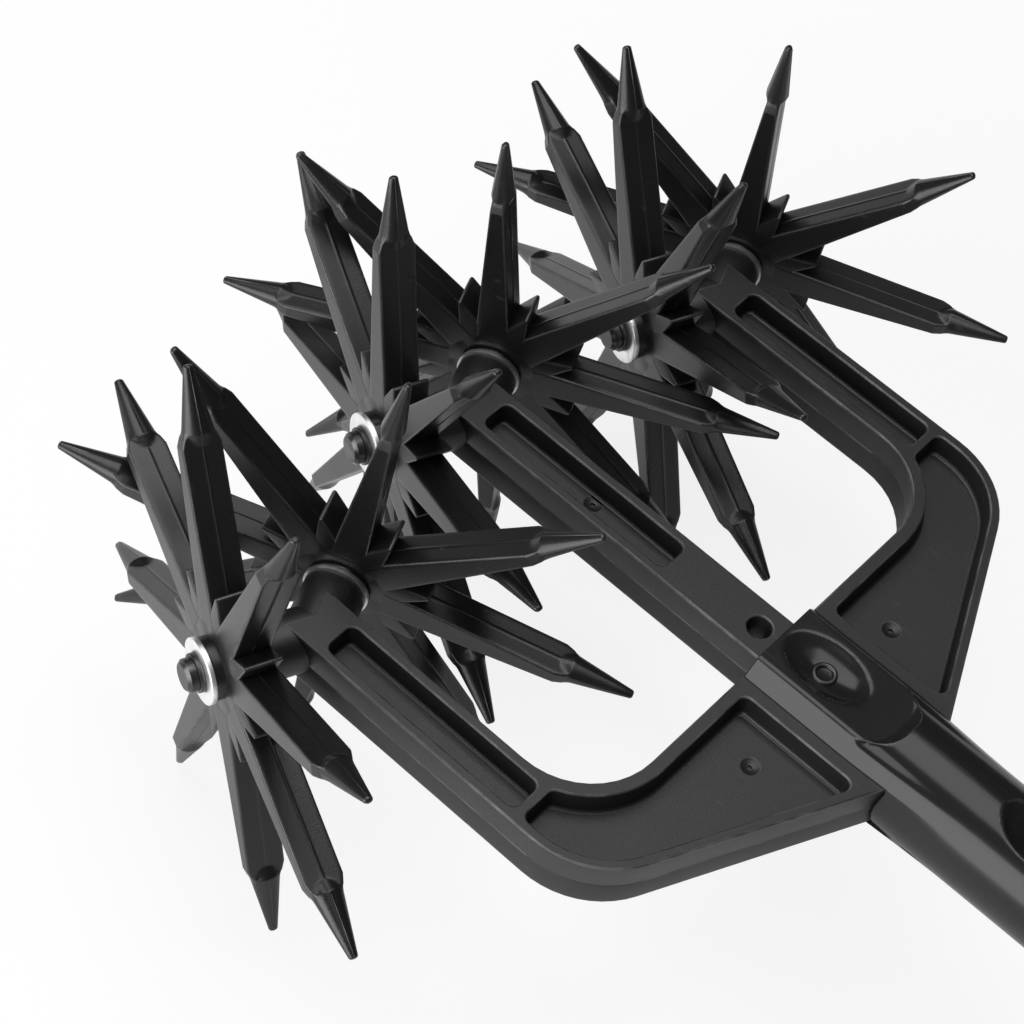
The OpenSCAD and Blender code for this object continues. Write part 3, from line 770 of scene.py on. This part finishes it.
def row_step(y):
    """Distance to the next row of the tube's mesh, least where the tube is pressed."""
    if y > FLAT_END - FINE_PAST_FLAT or abs(y - RIVET_YS[1]) < DIMPLE_HALF[1] + FINE_PAST_DIMPLE:
        return FINE_ROW
    return PLAIN_ROW if y > RIVET_YS[1] - PLAIN_PAST_RIVET else LONG_ROW


def slit_end(x):
    return rear_y(abs(x)) - SLIT_SHOW


def in_slit(face):
    middle = face.calc_center_median()
    return middle.y > slit_end(middle.x) and all(abs(v.co.z) < SLIT_H + SLIT_SKIN for v in face.verts)


tube_mesh = bmesh.new()
column_of = tube_mesh.verts.layers.int.new("place")
tube_first = bmesh.ops.create_circle(tube_mesh, segments=2 * HALF_COLUMNS, radius=TUBE_R)["verts"]
for k, vert in enumerate(tube_first):
    vert[column_of] = k
    vert.co = tube_point(k, TUBE_FRONT)
tube_ring = list(tube_mesh.edges)
tube_y = TUBE_FRONT
while tube_y > TUBE_END:
    tube_y = max(tube_y - row_step(tube_y), TUBE_END)
    tube_ring = extruded(tube_mesh, tube_ring, lambda vert: tube_point(vert[column_of], tube_y))
bmesh.ops.delete(tube_mesh, geom=[face for face in tube_mesh.faces if in_slit(face)], context="FACES")
for vert in tube_mesh.verts:
    if vert.is_boundary and abs(vert.co.z) < SLIT_H - SLIT_SKIN and vert.co.y > SADDLE_FADE[1]:
        vert.co.y = slit_end(vert.co.x)
PAINT_DARK = (0.008, 0.008, 0.0085, 1)
PAINT_PALE = (0.022, 0.022, 0.023, 1)
# The paint is lightened along the marked edges, as rubbing and as a painted highlight line along the
# saddle's bend
PAINT_RUBBED_AND_HIGHLIGHT = (0.14, 0.14, 0.142, 1)
paint = Finish(bpy.data.materials.new("tube_paint"))
paint_peel = paint.noise(scale=520, detail=2)
paint_cloud = paint.noise(scale=24, detail=4)
paint_lines = paint.patches(paint.noise(scale=900, detail=5, stretch=(1, 0.02, 1)), 0.6, 0.74)
paint_base = paint.blend(paint_cloud * 0.6 + paint_lines * 0.35, PAINT_DARK, PAINT_PALE)
TUBE_PAINT = paint.surface(
    Base_Color=paint.blend(paint.wear() * 0.3, paint_base, PAINT_RUBBED_AND_HIGHLIGHT),
    Roughness=0.2 + (paint_cloud - 0.5) * 0.1 + paint_lines * 0.16,
    Normal=paint.bump(paint_peel * 0.8 + paint_lines * 0.3, 0.012 * MM),
    Coat_Weight=0.14,
    Coat_Roughness=0.12,
    Specular_IOR_Level=0.26,
)
tube = finished("painted_tube", tube_mesh, "frame", ["handle_tube"], TUBE_PAINT, sharp=40)
wall = tube.modifiers.new("wall", "SOLIDIFY")
wall.thickness = TUBE_WALL * MM
wall.offset = -1
wall.use_even_offset = True

# Rivets: tubular steel rivets through the dimples, painted with the tube. The upper end is rolled
# over into a ring with a hollow in it, and the lower end is a low cone head.
RIVET_R = 2.5
RIVET_FIT = 0.05
ROLL_R = 3.2
ROLL_H = 0.8
ROLL_FOOT = 0.1
HOLLOW_R = 1.8
HOLLOW_DEPTH = 2.5
RIVET_HEAD_R = 4.5
RIVET_HEAD_H = 1.8
RIVET_HEAD_EDGE = 0.15
stem = DIMPLE_FLOOR + RIVET_FIT
hollow_floor = stem + ROLL_H - HOLLOW_DEPTH
roll_half_w = (ROLL_R - HOLLOW_R) / 2
roll_rise = ROLL_H - ROLL_FOOT
rivet = [(0, -stem - RIVET_HEAD_H), (RIVET_R, -stem - RIVET_HEAD_H),
         (RIVET_HEAD_R, -stem - RIVET_HEAD_EDGE), (RIVET_HEAD_R, -stem),
         (RIVET_R, -stem), (RIVET_R, stem), (ROLL_R, stem)]
rivet += [(HOLLOW_R + roll_half_w * (1 + cos(a)), stem + ROLL_FOOT + roll_rise * sin(a))
          for a in (pi * k / 6 for k in range(7))]
rivet += [(HOLLOW_R, hollow_floor), (0, hollow_floor)]
RIVET_STEEL = dark_steel("rivet_steel", (0.012, 0.012, 0.0125), (0.04, 0.04, 0.041), 0.46)
for name, rivet_y in zip(("front", "rear"), RIVET_YS):
    rivet_mesh = bmesh.new()
    turned(rivet_mesh, rivet, Matrix.Translation((0, rivet_y, 0)), steps=40)
    finished(f"{name}_tube_rivet", rivet_mesh, "frame", [f"{name}_rivet"], RIVET_STEEL)

# Hand grip: a sleeve moulded in matt black plastic and pushed over the end of the tube, with a collar
# at each end, shallow finger grooves between them, and a flat tab with a hole to hang the tool by.
GRIP_FRONT = -1132.3
GRIP_END = -1261.35
GRIP_LEN = GRIP_FRONT - GRIP_END
GRIP_R = 16.95
GRIP_BORE_R = 14.35
MOUTH_CHAMFER = 0.4
END_WALL = 4
END_CONE = 3
COLLAR_R = 18.55
COLLAR_LEN = 7
COLLAR_EDGE = 1.2
COLLAR_EDGE_MID = 0.35
# How a collar falls to the sleeve: insets from its crest, and lengths past its end
COLLAR_FALL = ((0, -1), (0.6, 0), (COLLAR_R - GRIP_R, 0.8))
GROOVE_COUNT = 18
GROOVE_DEPTH = 0.5
GROOVE_HALF_W = 1.3
GROOVE_MARGIN = 6
HANG_Y = -1271.35
HANG_R = 10
HANG_HALF_T = 5
HANG_HOLE_R = 4
TAB_EDGE_R = 1
TAB_LAP = 1
# The tab's two end roundings fall short of its half width by this much, so that they don't meet
TAB_SLACK = 0.01
collar = [(COLLAR_R - COLLAR_EDGE, 0), (COLLAR_R - COLLAR_EDGE_MID, COLLAR_EDGE_MID),
          (COLLAR_R, COLLAR_EDGE)]
collar += [(COLLAR_R - inset, COLLAR_LEN + along) for inset, along in COLLAR_FALL]
sleeve = [(0, GRIP_LEN - END_WALL + END_CONE), (GRIP_BORE_R, GRIP_LEN - END_WALL),
          (GRIP_BORE_R, MOUTH_CHAMFER), (GRIP_BORE_R + MOUTH_CHAMFER, 0)] + collar
grooved = GRIP_LEN - 2 * (COLLAR_LEN + GROOVE_MARGIN)
for k in range(GROOVE_COUNT):
    middle = COLLAR_LEN + GROOVE_MARGIN + grooved * (k + 0.5) / GROOVE_COUNT
    sleeve += [(GRIP_R - GROOVE_DEPTH * (1 - s * s), middle + GROOVE_HALF_W * s)
               for s in (-1, -0.5, 0, 0.5, 1)]
sleeve += [(radius, GRIP_LEN - along) for radius, along in collar[::-1]] + [(0, GRIP_LEN)]
grip_mesh = bmesh.new()
sleeve_place = Matrix.Translation((0, GRIP_FRONT, 0)) @ Matrix.Rotation(pi / 2, 4, "X")
turned(grip_mesh, sleeve, sleeve_place, steps=72)
tab_start = len(grip_mesh.verts)
tab = rounded([(-HANG_R, GRIP_END + TAB_LAP, 0), (-HANG_R, HANG_Y - HANG_R, HANG_R - TAB_SLACK),
               (HANG_R, HANG_Y - HANG_R, HANG_R - TAB_SLACK), (HANG_R, GRIP_END + TAB_LAP, 0)], steps=16)
tab_edge = quarter_round(TAB_EDGE_R, HANG_HALF_T - TAB_EDGE_R, TAB_EDGE_R, 180)
hole_edge = quarter_round(-TAB_EDGE_R, HANG_HALF_T - TAB_EDGE_R, TAB_EDGE_R, 90)[::-1]
tab_ring = swept(grip_mesh, tab, [(0, 0)] + tab_edge)[1]
tab_ring += swept(grip_mesh, circle(0, HANG_Y, HANG_HOLE_R, steps=40), [(0, 0)] + hole_edge)[1]
bmesh.ops.triangle_fill(grip_mesh, edges=tab_ring, use_beauty=True)
mirrored(grip_mesh, tab_start, "Z")
# rubbed sets how far the edges are lightened, as wear and as a painted highlight line
GRIP_BLACK = moulded_black("grip_black", (0.02, 0.02, 0.0205), (0.036, 0.036, 0.037),
                           gloss=0.56, grain_size=0.5, grain_depth=0.05, rubbed=0.3)
finished("ribbed_grip", grip_mesh, "frame", ["hand_grip"], GRIP_BLACK)

# Stage: a white sweep under the tool in an even white room, lit by two large soft boxes and seen
# from the photograph's place. Sizes here are in metres, apart from the camera's lens and sensor.
FLOOR_SIZE = 12
FLOOR_WHITE = (0.9, 0.9, 0.9, 1)
PURE_WHITE = (1, 1, 1, 1)
# Stretch along the tool over which the sweep's glow for reflected rays rises from its least to full in
# front of the wheels: a painted reflection, which leaves painted shade in reflections of the sweep under
# the tool
PAINTED_REFLECTION_FROM = (0.59, 0.65)
PAINTED_REFLECTION_LEAST = 0.05
# Half width and half length of the oval, round the tool, in which the sweep shows the tool's shade
SHADE_HALF = (0.9, 1.5)
# Share of the oval in which the shade is full, and how much of the sweep's own white is left there
SHADE_FULL = 0.5
SHADE_GLOW = 0.82
floor_mesh = bmesh.new()
bmesh.ops.create_grid(floor_mesh, x_segments=1, y_segments=1, size=FLOOR_SIZE / 2)
floor_data = bpy.data.meshes.new("white_sweep")
floor_mesh.to_mesh(floor_data)
floor_mesh.free()
sweep = Finish(bpy.data.materials.new("sweep_white"))
seen = sweep.node("ShaderNodeLightPath", out="Is Camera Ray")
reflected = sweep.node("ShaderNodeLightPath", out="Is Glossy Ray")
along = sweep.node("ShaderNodeSeparateXYZ", {}, {0: sweep.spot()}, "Y")
# Painted reflection: the sweep glows for reflected rays only ahead of the wheels, with painted shade
# under the tool
ahead = sweep.eased(along, *PAINTED_REFLECTION_FROM, least=PAINTED_REFLECTION_LEAST)
oval = sweep.spot((1 / SHADE_HALF[0], 1 / SHADE_HALF[1], 0))
reach = sweep.node("ShaderNodeVectorMath", {"operation": "LENGTH"}, {0: oval}, "Value")
away = sweep.eased(reach, SHADE_FULL, 1)
share = seen * (SHADE_GLOW + (1 - SHADE_GLOW) * away) + reflected * ahead
lit = sweep.node("ShaderNodeBsdfDiffuse", {}, {"Color": FLOOR_WHITE})
glow = sweep.node("ShaderNodeEmission", {}, {"Color": PURE_WHITE, "Strength": 1})
mixed = sweep.node("ShaderNodeMixShader", {}, {0: share, 1: lit, 2: glow})
sweep.node("ShaderNodeOutputMaterial", {}, {"Surface": mixed})
floor_data.materials.append(sweep.owner)
floor = bpy.data.objects.new("white_sweep", floor_data)
bpy.context.scene.collection.objects.link(floor)

FILL_LIGHT = 0.055
room = Finish(bpy.data.worlds.new("studio"))
seen = room.node("ShaderNodeLightPath", out="Is Camera Ray")
fill = room.node("ShaderNodeBackground", {}, {"Color": PURE_WHITE, "Strength": FILL_LIGHT})
backdrop = room.node("ShaderNodeBackground", {}, {"Color": PURE_WHITE, "Strength": 1})
mixed = room.node("ShaderNodeMixShader", {}, {0: seen, 1: fill, 2: backdrop})
room.node("ShaderNodeOutputWorld", {}, {"Surface": mixed})
bpy.context.scene.world = room.owner

# Name, place, size, tilt and power of each soft box
LAMPS = (
    ("soft_box_above", (0.2, 1.05, 1.6), (1.3, 1.7), 0, 21),
    ("soft_box_left", (-1.15, 0.95, 0.56), (1.1, 1.7), -pi / 2, 28),
)
for name, place, size, tilt, power in LAMPS:
    lamp = bpy.data.lights.new(name, "AREA")
    lamp.shape = "RECTANGLE"
    lamp.size, lamp.size_y = size
    lamp.energy = power
    box = bpy.data.objects.new(name, lamp)
    box.location = place
    box.rotation_euler = (0, tilt, 0)
    bpy.context.scene.collection.objects.link(box)

CAMERA_PLACE = Vector((-0.37741, 0.38780, 0.62263))
CAMERA_AIM = Vector((-0.01405, 0.58615, 0.0725))
CAMERA_ROLL = radians(15.866)
CAMERA_LENS = 102.05
CAMERA_SENSOR = 36
CAMERA_NEAR = 0.01
camera_data = bpy.data.cameras.new("camera")
camera_data.sensor_width = CAMERA_SENSOR
camera_data.lens = CAMERA_LENS
camera_data.clip_start = CAMERA_NEAR
camera = bpy.data.objects.new("camera", camera_data)
camera.location = CAMERA_PLACE
camera.rotation_mode = "QUATERNION"
aim = (CAMERA_AIM - CAMERA_PLACE).to_track_quat("-Z", "Y")
camera.rotation_quaternion = aim @ Matrix.Rotation(CAMERA_ROLL, 3, "Z").to_quaternion()
bpy.context.scene.collection.objects.link(camera)
bpy.context.scene.camera = camera
bpy.context.scene.view_settings.view_transform = "Standard"
